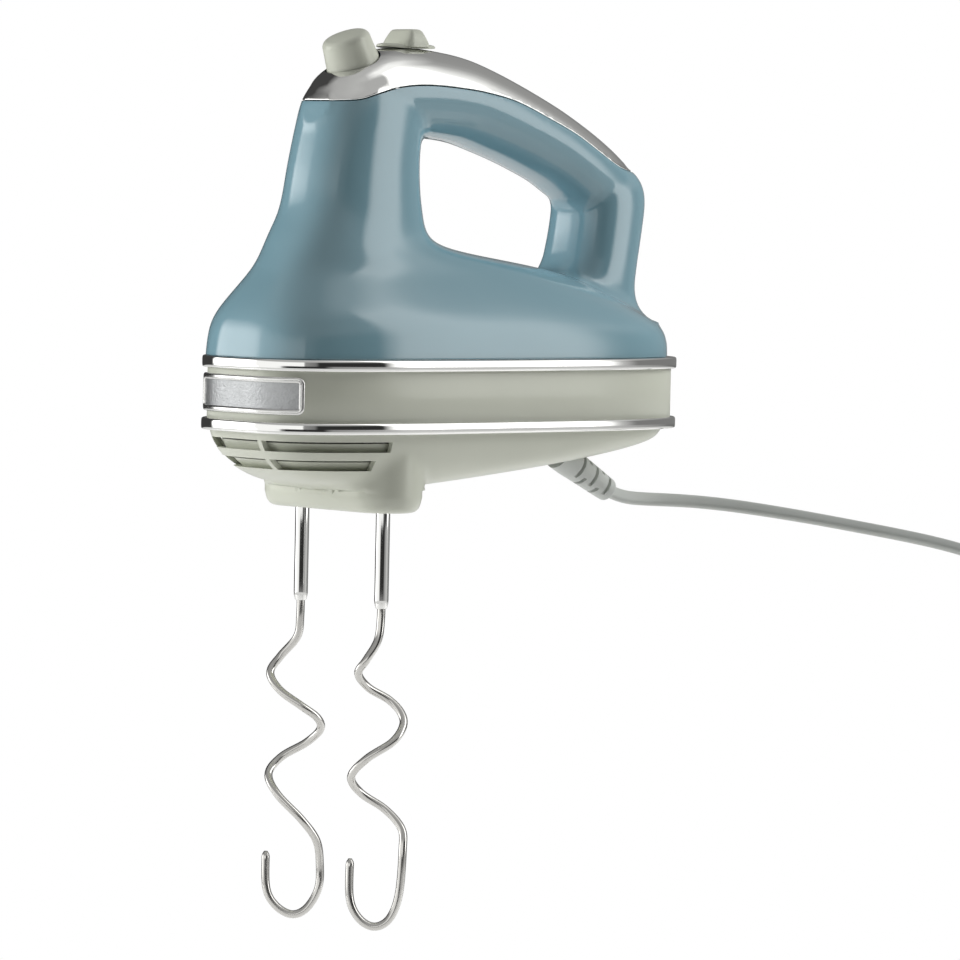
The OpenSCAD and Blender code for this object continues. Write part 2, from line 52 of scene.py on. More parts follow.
def make_camera(target, azimuth, elevation, roll, distance, lens):
    a, e, r = (math.radians(x) for x in (azimuth, elevation, roll))
    back = Vector((math.sin(a) * math.cos(e), -math.cos(a) * math.cos(e), math.sin(e)))
    right = Vector((math.cos(a), math.sin(a), 0))
    up = back.cross(right)
    x = right * math.cos(r) + up * math.sin(r)
    y = up * math.cos(r) - right * math.sin(r)
    data = bpy.data.cameras.new("camera")
    data.lens, data.sensor_width = lens, 36
    data.clip_start, data.clip_end = 0.05, 50
    cam = bpy.data.objects.new("camera", data)
    bpy.context.collection.objects.link(cam)
    turn = Matrix((x, y, back)).transposed().to_4x4()
    cam.matrix_world = Matrix.Translation(Vector(target) + back * distance) @ turn
    bpy.context.scene.camera = cam


VIEW_AZIMUTH = -42.731
make_camera((0.005672, 0, -0.137528), VIEW_AZIMUTH, 3.124, 1.238, 1.9915, 200.33)
bpy.context.scene.view_settings.view_transform = "Standard"


# ---------------------------------------------------------------- materials

def new_material(name, colour, roughness, metallic=0.0, coat=0.0, coat_roughness=0.05):
    m = bpy.data.materials.new(name)
    m.use_nodes = True
    s = m.node_tree.nodes["Principled BSDF"]
    s.inputs["Base Color"].default_value = (*colour, 1)
    s.inputs["Metallic"].default_value = metallic
    s.inputs["Roughness"].default_value = roughness
    s.inputs["IOR"].default_value = 1.5
    s.inputs["Coat Weight"].default_value = coat
    s.inputs["Coat Roughness"].default_value = coat_roughness
    m.diffuse_color = (*colour, 1)
    return m


def add(m, kind, **sockets):
    n = m.node_tree.nodes.new(kind)
    for key, value in sockets.items():
        n.inputs[key.replace("_", " ")].default_value = value
    return n


def grain(m, scale, detail=3.0, stretch=None):
    """noise in the object's own coordinates, which move with it"""
    t = m.node_tree
    place = add(m, "ShaderNodeTexCoord")
    n = add(m, "ShaderNodeTexNoise", Scale=scale, Detail=detail)
    if stretch:
        mapping = add(m, "ShaderNodeMapping")
        mapping.inputs["Scale"].default_value = stretch
        t.links.new(place.outputs["Object"], mapping.inputs["Vector"])
        t.links.new(mapping.outputs["Vector"], n.inputs["Vector"])
    else:
        t.links.new(place.outputs["Object"], n.inputs["Vector"])
    return n


def vary_colour(m, noise, low, high):
    ramp = add(m, "ShaderNodeValToRGB")
    ramp.color_ramp.elements[0].position, ramp.color_ramp.elements[1].position = 0.3, 0.7
    ramp.color_ramp.elements[0].color, ramp.color_ramp.elements[1].color = (*low, 1), (*high, 1)
    t = m.node_tree
    t.links.new(noise.outputs["Fac"], ramp.inputs["Fac"])
    t.links.new(ramp.outputs["Color"], t.nodes["Principled BSDF"].inputs["Base Color"])


def vary_roughness(m, noise, low, high):
    r = add(m, "ShaderNodeMapRange")
    r.inputs["To Min"].default_value, r.inputs["To Max"].default_value = low, high
    t = m.node_tree
    t.links.new(noise.outputs["Fac"], r.inputs["Value"])
    t.links.new(r.outputs["Result"], t.nodes["Principled BSDF"].inputs["Roughness"])


def bumped(m, noise, strength, depth):
    b = add(m, "ShaderNodeBump", Strength=strength, Distance=depth)
    t = m.node_tree
    t.links.new(noise.outputs["Fac"], b.inputs["Height"])
    t.links.new(b.outputs["Normal"], t.nodes["Principled BSDF"].inputs["Normal"])


def finish_of(name, colour, spread, scale, rough, grain_scale, bump, depth, stretch=None, **more):
    """a material with slow colour variation, uneven gloss and a fine surface grain"""
    m = new_material(name, colour, sum(rough) / 2, **more)
    slow = grain(m, scale, 4, stretch)
    vary_colour(m, slow, [c * (1 - spread) for c in colour], [min(1, c * (1 + spread)) for c in colour])
    fine = grain(m, grain_scale, 2, stretch)
    vary_roughness(m, fine, *rough)
    bumped(m, fine, bump, depth)
    return m


BLUE = finish_of("blue_enamel", (0.225, 0.39, 0.46), 0.015, 25, (0.10, 0.14), 700, 0.02, 0.0001,
                 coat=0.65, coat_roughness=0.04)
CREAM = finish_of("cream_plastic", (0.62, 0.64, 0.55), 0.015, 40, (0.30, 0.38), 1500, 0.04, 0.0001,
                  coat=0.3, coat_roughness=0.12)
CHROME = finish_of("bright_chrome", (0.84, 0.84, 0.83), 0.01, 30, (0.035, 0.06), 300, 0.01, 0.0001,
                   metallic=1.0)
WIRE = finish_of("polished_wire", (0.62, 0.61, 0.59), 0.02, 80, (0.10, 0.17), 1200, 0.03, 0.0001,
                 metallic=1.0, stretch=(1, 1, 0.15))
BADGE = finish_of("hammered_badge", (0.42, 0.43, 0.44), 0.06, 300, (0.32, 0.42), 1100, 0.5, 0.0004,
                  metallic=0.9)
BADGE_FRAME = finish_of("badge_metal", (0.72, 0.72, 0.71), 0.02, 80, (0.16, 0.22), 900, 0.05, 0.0001,
                        metallic=1.0)
LEAD = finish_of("grey_lead", (0.52, 0.54, 0.52), 0.03, 60, (0.38, 0.48), 1400, 0.08, 0.0002)
TIE = finish_of("black_tie", (0.02, 0.02, 0.022), 0.1, 90, (0.35, 0.5), 1000, 0.1, 0.0002)
INNER = {
    "bronze": finish_of("sintered_bronze", (0.50, 0.33, 0.14), 0.08, 200, (0.3, 0.45), 1500, 0.15,
                        0.0002, metallic=1.0),
    "copper_wire": finish_of("copper_windings", (0.62, 0.26, 0.12), 0.12, 400, (0.25, 0.4), 2500, 0.4,
                             0.0003, metallic=0.9, stretch=(1, 1, 6)),
    "white_nylon": finish_of("white_nylon", (0.72, 0.70, 0.62), 0.03, 80, (0.35, 0.45), 1200, 0.06,
                             0.0002),
    "black_plastic": finish_of("black_plastic", (0.025, 0.026, 0.028), 0.1, 90, (0.4, 0.55), 1200, 0.1,
                               0.0002),
    "green_board": finish_of("green_board", (0.03, 0.16, 0.07), 0.1, 200, (0.25, 0.35), 900, 0.08,
                             0.0002),
    "inner_steel": finish_of("inner_steel", (0.48, 0.48, 0.48), 0.05, 120, (0.2, 0.35), 1200, 0.08,
                             0.0002, metallic=1.0, stretch=(0.3, 1, 1)),
}


# ---------------------------------------------------------------- mesh helpers

def tube_faces(rows, around, capped=True):
    """faces between rows of points that each run once round, with the two ends closed if capped"""
    faces = [(k * around + i, k * around + (i + 1) % around, (k + 1) * around + (i + 1) % around,
              (k + 1) * around + i) for k in range(rows - 1) for i in range(around)]
    if capped:
        faces += [tuple(range(around))[::-1], tuple((rows - 1) * around + i for i in range(around))]
    return faces


def make_object(name, points, faces, material, body="housing", smooth=35.0):
    """a mesh object from points in mm and faces, shaded smooth up to the given angle"""
    data = bpy.data.meshes.new(name)
    data.from_pydata(to_row(points).tolist(), [], faces)
    ob = bpy.data.objects.new(name, data)
    bpy.context.collection.objects.link(ob)
    dress(ob, material, smooth)
    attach(ob, body)
    return ob


def dress(ob, material, smooth=35.0):
    ob.data.materials.clear()
    ob.data.materials.append(material)
    data = ob.data
    bm = bmesh.new()
    bm.from_mesh(data)
    bmesh.ops.remove_doubles(bm, verts=bm.verts, dist=1e-6)
    bmesh.ops.recalc_face_normals(bm, faces=bm.faces)
    for f in bm.faces:
        f.smooth = True
    for e in bm.edges:
        if len(e.link_faces) == 2:
            e.smooth = e.calc_face_angle(0) < math.radians(smooth)
    bm.to_mesh(data)
    bm.free()


def use_modifier(ob, kind, **settings):
    """adds a modifier and applies it to the mesh"""
    mod = ob.modifiers.new(kind.lower(), kind)
    for key, value in settings.items():
        setattr(mod, key, value)
    graph = bpy.context.evaluated_depsgraph_get()
    data = bpy.data.meshes.new_from_object(ob.evaluated_get(graph))
    old = ob.data
    ob.modifiers.clear()
    ob.data = data
    bpy.data.meshes.remove(old)


def catmull(points, steps):
    """points every 1/steps between the given ones, on a smooth curve through them"""
    p = np.asarray(points, float)
    out = []
    for i in range(len(p) - 1):
        a, b, c, d = p[max(i - 1, 0)], p[i], p[i + 1], p[min(i + 2, len(p) - 1)]
        for f in np.arange(steps) / steps:
            out.append(0.5 * (2 * b + (c - a) * f + (2 * a - 5 * b + 4 * c - d) * f ** 2
                              + (3 * b - a - 3 * c + d) * f ** 3))
    out.append(p[-1])
    return np.array(out)


def even(path, gap):
    """the same path with points an even distance apart"""
    p = np.asarray(path, float)
    s = np.r_[0, np.cumsum(np.linalg.norm(np.diff(p, axis=0), axis=1))]
    n = max(2, int(round(s[-1] / gap)) + 1)
    at = np.linspace(0, s[-1], n)
    return np.stack([np.interp(at, s, p[:, k]) for k in range(3)], 1)


def relax(path, reach):
    """rounds off the tight spots of a path, which keeps its ends"""
    p = np.asarray(path, float)
    k = np.hanning(2 * reach + 3)[1:-1]
    k /= k.sum()
    padded = np.concatenate([2 * p[:1] - p[1:reach + 1][::-1], p, 2 * p[-1:] - p[-reach - 1:-1][::-1]])
    return np.stack([np.convolve(c, k, "valid") for c in padded.T], 1)


def tangents(path):
    t = np.gradient(path, axis=0)
    return t / np.linalg.norm(t, axis=1)[:, None]


def steady_sides(path, first_side=(0, 1, 0)):
    """sideways directions along a path, turning as little as they can"""
    sides = [np.asarray(first_side, float)]
    for t in tangents(path):
        s = sides[-1] - t * (sides[-1] @ t)
        sides.append(s / np.linalg.norm(s))
    return np.array(sides[1:])


def sweep(path, section, side, turn, size):
    """sweeps a closed section [[side, up], ...] along a path; side, turn in radians and size are per point"""
    up = np.cross(tangents(path), side)
    section = np.asarray(section, float)
    points = []
    for i in range(len(path)):
        a = side[i] * math.cos(turn[i]) + up[i] * math.sin(turn[i])
        b = up[i] * math.cos(turn[i]) - side[i] * math.sin(turn[i])
        points.append(path[i] + size[i] * (section[:, :1] * a + section[:, 1:] * b))
    return np.concatenate(points), tube_faces(len(path), len(section))


def circle(r, n):
    a = np.arange(n) * 2 * math.pi / n
    return np.stack([r * np.cos(a), r * np.sin(a)], 1)


def lathe(profile, n, place):
    """turns a profile [[radius, height], ...] round an axis; place maps local points to mm"""
    rings = [[[r * math.cos(a), r * math.sin(a), h] for a in np.arange(n) * 2 * math.pi / n]
             for r, h in profile]
    return place(np.array(rings).reshape(-1, 3)), tube_faces(len(profile), n)


def rounded(corners, r, steps=5):
    """a closed outline with its corners rounded"""
    c = np.asarray(corners, float)
    n = len(c)
    out = []
    for i in range(n):
        a, b, d = c[i - 1], c[i], c[(i + 1) % n]
        u, v = (a - b) / np.linalg.norm(a - b), (d - b) / np.linalg.norm(d - b)
        half = math.acos(max(-1, min(1, u @ v))) / 2
        cut = r / math.tan(half)
        p, q = b + u * cut, b + v * cut
        centre = b + (u + v) / np.linalg.norm(u + v) * r / math.sin(half)
        a0, a1 = (math.atan2(*(w - centre)[::-1]) for w in (p, q))
        span = (a1 - a0 + math.pi) % (2 * math.pi) - math.pi
        out += [centre + r * np.array([math.cos(a), math.sin(a)])
                for a in a0 + span * np.linspace(0, 1, steps)]
    return np.array(out)


# ---------------------------------------------------------------- lead, coil, plug

relief_end = np.array([87, 0, -51.9])
lead_route = [
    [*relief_end], [92, 0, -54], [98, -0.5, -55], [106, -1.5, -55.6], [116, -4, -56],
    [128, -9, -56.8], [140, -16, -58.2], [152, -25, -60.2], [164, -36, -62.6], [175, -48, -65.2],
    [185, -61, -67.8], [194, -75, -70.8], [201, -88, -74.5], [206, -98.5, -80], [209, -106, -87.5],
    [210.5, -110.5, -96.5], [211, -112, -106],
]
lead_w, lead_t = 5.2, 3.2
coil_x, coil_y, coil_z = 211, -128.4, -142.4
layers = [31.5, 28, 24.5]
plug_top = np.array([225.7, -111.6, -139.6])
plug_l, pin_gap = 34, 18.6
bend_r, tail_turn = 20, 20.4
# two turns lie in each layer, half a lead's width either side of the coil's middle
beside = lead_w / 2
coil_start, coil_turns, coil_end = 135, 6, 310


def ease(x):
    x = min(1, max(0, x))
    return x * x * (3 - 2 * x)


def coil_points():
    """turns from the outer layer to the inner one, two side by side in each layer"""
    stops = [(layers[0], -beside), (layers[0], beside), (layers[1], beside), (layers[1], -beside),
             (layers[2], -beside), (layers[2], beside)]
    out = []
    for angle in np.arange(coil_start + 6, coil_end + 360 * (coil_turns - 1), 7.5):
        turns = (angle - coil_start) / 360
        k = min(int(turns), coil_turns - 1)
        part = (turns - k) * 360
        r0, x0 = stops[k - 1] if k else (layers[0], 0)
        r1, x1 = stops[k]
        f = ease(part / 70)
        r, x = r0 + (r1 - r0) * f, x0 + (x1 - x0) * f
        a = math.radians(angle)
        out.append([coil_x + x, coil_y - r * math.cos(a), coil_z + r * math.sin(a)])
    return out


_, last_y, last_z = lead_route[-1]
bend = [[coil_x, last_y + bend_r * (1 - math.cos(a)), last_z - bend_r * math.sin(a)]
        for a in np.radians([15, 30, 45])]


def tail_points():
    """from the last turn of the coil, over it and down into the plug"""
    out = []
    for angle in range(coil_end + 10, 541, 10):
        f, g = ease((angle - coil_end) / 90), ease((angle - coil_end) / 150)
        r = layers[2] + (tail_turn - layers[2]) * f
        y = coil_y + (plug_top[1] - tail_turn - coil_y) * f
        z = coil_z + (plug_top[2] - coil_z) * f
        a = math.radians(angle)
        x0 = coil_x + beside
        out.append([x0 + (plug_top[0] - x0) * g, y - r * math.cos(a), z + r * math.sin(a)])
    return out


lead_path = catmull(lead_route + bend + coil_points() + tail_points(), 4)
lead_path = even(relax(even(lead_path, 2.0), 5), 2.0)
along = np.r_[0, np.cumsum(np.linalg.norm(np.diff(lead_path, axis=0), axis=1))]
lead_len = float(np.linalg.norm(np.diff(lead_path, axis=0), axis=1).sum())

lobe = lead_w / 2 - lead_t / 2
lead_section = []
for a in np.radians(np.arange(0, 360, 18)):
    x, y = math.cos(a), math.sin(a)
    # two round cores side by side, with a shallow waist between them
    waist = 1 - 0.10 * math.exp(-(x / 0.28) ** 2)
    lead_section.append([lobe * math.copysign(min(1, abs(x) * 1.8), x) + lead_t / 2 * x,
                         lead_t / 2 * math.copysign(abs(y) ** 0.9, y) * waist])
# the flat lead lies edge up at the relief, rolls over along its run and lies flat on the coil
roll = np.interp(along, [0, 25, 90, 180, 262, 300, lead_len - 120, lead_len - 20, lead_len],
                 [1.25, 1.15, 0.75, 0.55, 0.2, 0.0, 0.0, 0.0, 0.0])


def flat_sides(path):
    """sideways direction of the flat lead: along the coil's axis, eased from level"""
    t = tangents(path)
    want = np.tile([1.0, 0.0, 0.0], (len(path), 1))
    start = np.cross(t, [0, 0, 1.0])
    f = np.clip((along - 200) / 70, 0, 1)[:, None]
    f = f * f * (3 - 2 * f)
    start /= np.maximum(np.linalg.norm(start, axis=1), 1e-6)[:, None]
    start[start[:, 0] < 0] *= -1
    side = start * (1 - f) + want * f
    side -= t * (side * t).sum(1)[:, None]
    return side / np.linalg.norm(side, axis=1)[:, None]


lead_mesh = sweep(lead_path, lead_section, flat_sides(lead_path), roll, np.ones(len(lead_path)))
lead = make_object("lead", *lead_mesh, LEAD, smooth=60)
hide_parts("cord", "cord_coil")


def plug_shape():
    """a two-core plug: an oval body that narrows to a ribbed neck where the lead enters"""
    rows = [(0, 4.4, 3.4), (-2, 5.0, 3.8), (-3, 4.5, 3.4), (-5, 5.6, 4.1), (-6, 5.1, 3.7), (-8, 6.4, 4.5),
            (-9, 5.9, 4.1), (-11.5, 8.2, 5.2), (-14, 12.2, 5.9), (-17, 15.4, 6.3), (-20, 16.8, 6.45),
            (-26, 17.2, 6.5), (-31, 17.2, 6.5), (-33.2, 17.0, 6.3), (-34, 16.3, 5.6)]
    n = 48
    pts = []
    for z, w, d in rows:
        for a in np.arange(n) * 2 * math.pi / n:
            c, s = math.cos(a), math.sin(a)
            flat = 2 / 3.2 if w > 10 else 2 / 2.2
            pts.append(plug_top + [d * math.copysign(abs(s) ** flat, s),
                                   w * math.copysign(abs(c) ** flat, c), z])
    return np.array(pts), tube_faces(len(rows), n)


plug = make_object("plug", *plug_shape(), LEAD, smooth=40)
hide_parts("plug_body")

pin_profile = [(1.9, 2), (2.0, 0), (2.0, -9.5), (1.98, -9.6), (1.98, -17.2), (1.8, -18.2), (1.2, -18.9),
               (0.4, -19)]
for s in (-1, 1):
    foot = plug_top + [0, s * pin_gap / 2, -plug_l]
    pin = make_object(f"plug_pin_{'ab'[(s + 1) // 2]}", *lathe(pin_profile, 24, lambda p, f=foot: p + f),
                      CHROME, smooth=40)
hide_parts("plug_pins")


def tie_mesh():
    """a strap round all the turns, dipped at its two edges"""
    half = 2.4
    inner = rounded([[-5.5, -5.4], [5.5, -5.4], [5.5, 5.4], [-5.5, 5.4]], 1.4)
    outer = rounded([[-6.5, -6.4], [6.5, -6.4], [6.5, 6.4], [-6.5, 6.4]], 2.2)
    n = len(inner)
    pts, faces = [], []
    heights = [(-half, 0.25), (-half * 0.7, 0.0), (half * 0.7, 0.0), (half, 0.25)]
    for loop, sign in ((outer, -1), (inner, 1)):
        for z, dip in heights[:: -sign]:
            for p in loop:
                q = p + sign * dip * p / np.linalg.norm(p)
                pts.append([coil_x + q[0], coil_y + layers[1] + q[1], coil_z + z])
    k = len(heights) * 2
    for r in range(k):
        for i in range(n):
            j = (i + 1) % n
            faces.append((r * n + i, r * n + j, (r + 1) % k * n + j, (r + 1) % k * n + i))
    return np.array(pts), faces


tie = make_object("coil_strap", *tie_mesh(), TIE, smooth=40)
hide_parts("coil_tie")

tuple(to_row(relief_end))
to_row(lead_path).tolist()


# ---------------------------------------------------------------- shape tables

def squarer(length, half, power, new_power):
    """half length that keeps a rounded outline as wide in the camera's view when its power changes"""
    c, s = math.cos(math.radians(VIEW_AZIMUTH)), math.sin(math.radians(-VIEW_AZIMUTH))
    q, new_q = power / (power - 1), new_power / (new_power - 1)
    width = ((length * c) ** q + (half * s) ** q) ** (1 / q)
    return (width ** new_q - (half * s) ** new_q) ** (1 / new_q) / c


def squarer_rows(rows):
    """rows of z, front, rear, widest x, half width, power and new power, redrawn with the new power"""
    return [[z, round(x - squarer(x - front, half, power, new_power), 1),
             round(x + squarer(rear - x, half, power, new_power), 1), x, half, new_power]
            for z, front, rear, x, half, power, new_power in rows]


# domed base and front pillar: z, front, rear, widest x, half width, power
dome = squarer_rows([
    [0, -101, 101, 0, 39.2, 3.1, 3.5], [6, -100.4, 100.6, 0, 39, 3.1, 3.5],
    [12, -98.8, 97, -2, 38.2, 3.1, 3.4], [17, -96.3, 87, -6, 36.2, 3, 3.2],
    [24, -91.2, 73, -14, 31.8, 2.8, 2.95], [31, -85.4, 52, -24, 27, 2.7, 2.75],
]) + [
    [35, -82.8, 28, -34, 24.8, 2.6], [39, -80.4, -4, -43, 22.8, 2.6], [43, -78.4, -15, -46, 21.6, 2.6],
    [53, -73.2, -19, -46, 20, 2.6], [70, -69.6, -20.6, -45, 19, 2.6], [83, -66.6, -19, -43, 18.4, 2.6],
    [93, -63.8, -16, -41, 17.6, 2.6], [98, -60.4, -16, -40, 16.4, 2.5], [102, -56.4, -17, -39, 14.6, 2.4],
    [105.5, -51.6, -19, -38, 12, 2.3], [108.5, -45.6, -24, -37, 8.4, 2.2],
]
# rear post, with the dome's columns
post = [
    [13, 46, 95, 72, 26, 2.6], [17, 52, 91.5, 72, 20.5, 2.6], [24, 56.2, 90, 73, 17.3, 2.6],
    [32, 57.4, 90.8, 74, 16.8, 2.6], [46, 60.6, 93.4, 77, 16.3, 2.6], [58, 62, 95.2, 78.5, 16, 2.6],
    [64, 61, 94.2, 78, 15.4, 2.6], [68, 63, 91.8, 78, 13.6, 2.6], [71, 67, 88.6, 78, 11, 2.6],
]
# x, top, bottom, half width
grip = [
    [-62.5, 96.5, 91, 4], [-60, 99.4, 89, 9.5], [-55, 103.6, 86, 13.6], [-48, 107.4, 82.5, 16],
    [-38, 111.2, 80, 17.3], [-24, 112.8, 79.6, 17.5], [-10, 111.9, 79.8, 17.3], [4, 109.8, 78.4, 17],
    [17, 106, 75.1, 16.8], [29, 101.7, 71.5, 16.6], [40, 97.4, 67.6, 16.4], [50, 93.2, 63.6, 16.2],
    [60, 88.4, 58, 16], [70, 83.1, 53, 15.6], [80, 76.8, 50, 14.6], [87, 71.4, 50, 12.4],
    [92, 66, 52, 8.6], [94.6, 61.5, 55, 4],
]
# edge between the grip and its bright trim: x, z
seam = [
    [-75, 92.3], [-57, 92.8], [-47, 95.6], [-37, 98], [-25, 98.9], [-10, 98.4], [5, 97],
    [21, 94], [37, 88.5], [53, 82.3], [66, 75.6], [76, 71], [84, 69.7], [100, 69.4],
]
# lower housing, with the dome's columns
hull = [
    [-47.6, -62, -36, -47, 20, 2.4], [-46.5, -71, -20, -46, 24, 2.5], [-44, -80, 6, -40, 28.5, 2.7],
] + squarer_rows([
    [-40.5, -88, 38, -25, 32.8, 2.8, 2.9], [-37.5, -92, 60, -12, 35.4, 2.9, 3.1],
    [-34.5, -94.8, 79, -4, 37, 3, 3.3], [-31, -97, 94, 0, 38.2, 3.1, 3.45],
    [-26.8, -98.6, 99, 0, 38.8, 3.1, 3.5],
])
housing_top, boss_bottom = -26.85, -55.5
spindle_x, spindle_y = -47.2, 22.3


def smooth_rows(table, at):
    t = np.array(table, float)
    x, v = t[:, 0], t[:, 1:]
    n = len(t)
    a, b = np.maximum(np.arange(n) - 1, 0), np.minimum(np.arange(n) + 1, n - 1)
    slope = (v[b] - v[a]) / (x[b] - x[a])[:, None]
    at = np.clip(at, x[0], x[-1])
    i = np.clip(np.searchsorted(x, at, side="right") - 1, 0, n - 2)
    h = (x[i + 1] - x[i])[:, None]
    s = (at - x[i])[:, None] / h
    return (v[i] * (2 * s ** 3 - 3 * s ** 2 + 1) + slope[i] * h * (s ** 3 - 2 * s ** 2 + s)
            + v[i + 1] * (3 * s ** 2 - 2 * s ** 3) + slope[i + 1] * h * (s ** 3 - s ** 2))


def lookup(table, soften=0.0):
    low, high = table[0][0], table[-1][0]
    fine = np.linspace(low, high, 1501)
    dense = smooth_rows(table, fine)
    if soften:
        gap = fine[1] - fine[0]
        k = np.exp(-0.5 * (np.arange(-int(3 * soften / gap), int(3 * soften / gap) + 1) * gap / soften) ** 2)
        k /= k.sum()
        pad = len(k) // 2
        ends = np.concatenate([2 * dense[:1] - dense[1:pad + 1][::-1], dense,
                               2 * dense[-1:] - dense[-pad - 1:-1][::-1]])
        dense = np.stack([np.convolve(c, k, "valid") for c in ends.T], 1)
    return lambda at: [np.interp(at, fine, c) for c in dense.T]


# ---------------------------------------------------------------- smooth solids from the tables

def soft_max(a, b, k):
    h = np.clip(0.5 + 0.5 * (a - b) / k, 0, 1)
    return b + (a - b) * h + k * h * (1 - h)


def level_shape(table, low=None, high=None, soften=2.0, rim=0.5):
    look = lookup(table, soften)

    def raw(p):
        front, rear, middle, half, power = look(p[:, 2])
        u = p[:, 0] - middle
        a = np.where(u < 0, middle - front, rear - middle)
        rho = (np.abs(u / a) ** power + np.abs(p[:, 1] / half) ** power) ** (1 / power)
        d = (rho - 1) * np.hypot(u, p[:, 1]) / np.maximum(rho, 1e-6)
        if high is not None:
            d = soft_max(d, p[:, 2] - high, rim)
        if low is not None:
            d = soft_max(d, low - p[:, 2], rim)
        return d
    return raw


def grip_shape(p, look=lookup(grip, 2.5)):
    top, bottom, half = look(p[:, 0])
    middle, h = (top + bottom) / 2, (top - bottom) / 2
    y, z = p[:, 1], p[:, 2] - middle
    rho = (np.abs(y / half) ** 2.4 + np.abs(z / h) ** 2.4) ** (1 / 2.4)
    d = (rho - 1) * np.hypot(y, z) / np.maximum(rho, 1e-6)
    return soft_max(soft_max(d, p[:, 0] - 94.8, 3), -62.6 - p[:, 0], 3)


dome_shape = level_shape(dome, high=107.5, rim=4)
post_shape = level_shape(post, 13, 71, rim=3)
hull_shape = level_shape(hull, low=-47.6, rim=2.5, soften=1.2)


def boss_shape(p):
    z = p[:, 2]
    r = np.interp(z, [boss_bottom, -50, -20], [12.6, 14.0, 14.0])
    side = np.hypot(p[:, 0] - spindle_x, np.maximum(np.abs(p[:, 1]) - spindle_y, 0)) - r
    return soft_max(soft_max(side, boss_bottom - z, 3.2), z + 29, 1)


def shape_union(parts, reach):
    """exact(p) gives the value and slope of the union; creases are filled, coincident faces aren't"""
    def exact(p, h=0.15):
        value = slope = None
        for k, raw in enumerate(parts):
            g = np.stack([(raw(p + e) - raw(p - e)) / (2 * h) for e in h * np.eye(3)], -1)
            size = np.maximum(np.linalg.norm(g, axis=1), 0.3)
            v, g = raw(p) / size, g / size[:, None]
            if value is None:
                value, slope = v, g
                continue
            r = reach[k - 1] * np.clip(1 - (slope * g).sum(1), 0.02, 1.2)
            w = np.clip(0.5 + 0.5 * (v - value) / r, 0, 1)
            value, slope = (v * (1 - w) + value * w - r * w * (1 - w),
                            g * (1 - w)[:, None] + slope * w[:, None])
        return value, slope

    def rough(p):
        out = parts[0](p)
        for k, raw in enumerate(parts[1:]):
            d, r = raw(p), reach[k] * 0.6
            w = np.clip(0.5 + 0.5 * (d - out) / r, 0, 1)
            out = d * (1 - w) + out * w - r * w * (1 - w)
        return out
    return rough, exact


def skin(rough, exact, low, high, step):
    """the zero surface of a field, as points and four-sided faces"""
    axes = [np.arange(a, b + step, step) for a, b in zip(low, high)]
    grid = np.stack(np.meshgrid(*axes, indexing="ij"), -1)
    f = rough(grid.reshape(-1, 3)).reshape(grid.shape[:3])
    size = np.array(f.shape) - 1
    corners = {c: f[c[0]:size[0] + c[0], c[1]:size[1] + c[1], c[2]:size[2] + c[2]]
               for c in itertools.product((0, 1), repeat=3)}
    inside = sum((v < 0).astype(int) for v in corners.values())
    mixed = (inside > 0) & (inside < 8)
    total, hits = np.zeros((*size, 3)), np.zeros(tuple(size))
    for c, axis in itertools.product(corners, range(3)):
        if c[axis]:
            continue
        d = tuple(x + (k == axis) for k, x in enumerate(c))
        a, b = corners[c], corners[d]
        crossing = (a < 0) != (b < 0)
        share = np.where(crossing, a / np.where(crossing, a - b, 1), 0)
        spot = np.array(c, float)[None, None, None] + share[..., None] * np.eye(3)[axis]
        total += np.where(crossing[..., None], spot, 0)
        hits += crossing
    index = -np.ones(tuple(size), int)
    index[mixed] = np.arange(mixed.sum())
    cell = np.argwhere(mixed)
    points = np.array(low) + step * (cell + total[mixed] / hits[mixed][:, None])
    faces = []
    for axis in range(3):
        others = [k for k in range(3) if k != axis]
        a = np.take(f, range(size[axis]), axis)
        b = np.take(f, range(1, size[axis] + 1), axis)
        flip = (a < 0) != (b < 0)
        for k in others:
            edge = [slice(None)] * 3
            edge[k] = 0
            flip[tuple(edge)] = False
            edge[k] = flip.shape[k] - 1
            flip[tuple(edge)] = False
        at = np.argwhere(flip)
        outward = a[flip] < 0
        one, two = np.eye(3, dtype=int)[others[0]], np.eye(3, dtype=int)[others[1]]
        quad = np.stack([index[tuple((at - o).T)] for o in (0 * one, one, one + two, two)], 1)
        if axis == 1:
            outward = ~outward
        quad[~outward] = quad[~outward][:, ::-1]
        faces.append(quad)
    faces = np.concatenate(faces)
    for _ in range(6):
        value, slope = exact(points)
        move = value[:, None] * slope / np.maximum((slope ** 2).sum(1), 0.2)[:, None]
        length = np.maximum(np.linalg.norm(move, axis=1), 1e-9)
        points -= move * np.minimum(1, 0.8 / length)[:, None]
    return points, faces[:, ::-1].tolist()


def trimmed(points, faces, keep):
    """cuts a surface along height curves z(x); keep lists (curve, whether the part above stays)"""
    bm = bmesh.new()
    verts = [bm.verts.new(p) for p in points]
    for f in faces:
        bm.faces.new([verts[i] for i in f])
    for curve, above in keep:
        lift = curve(np.array([v.co.x for v in bm.verts]))
        for v, h in zip(bm.verts, lift):
            v.co.z -= h
            if abs(v.co.z) < 0.35:
                v.co.z = 0
        bmesh.ops.bisect_plane(bm, geom=[*bm.verts, *bm.edges, *bm.faces], dist=1e-5,
                               plane_co=(0, 0, 0), plane_no=(0, 0, 1),
                               clear_inner=above, clear_outer=not above)
        lift = curve(np.array([v.co.x for v in bm.verts]))
        for v, h in zip(bm.verts, lift):
            v.co.z += h
    loose = [v for v in bm.verts if not v.link_faces]
    bmesh.ops.delete(bm, geom=loose, context="VERTS")
    bmesh.ops.recalc_face_normals(bm, faces=bm.faces)
    bm.verts.index_update()
    out = np.array([v.co[:] for v in bm.verts]), [[v.index for v in f.verts] for f in bm.faces]
    bm.free()
    return out


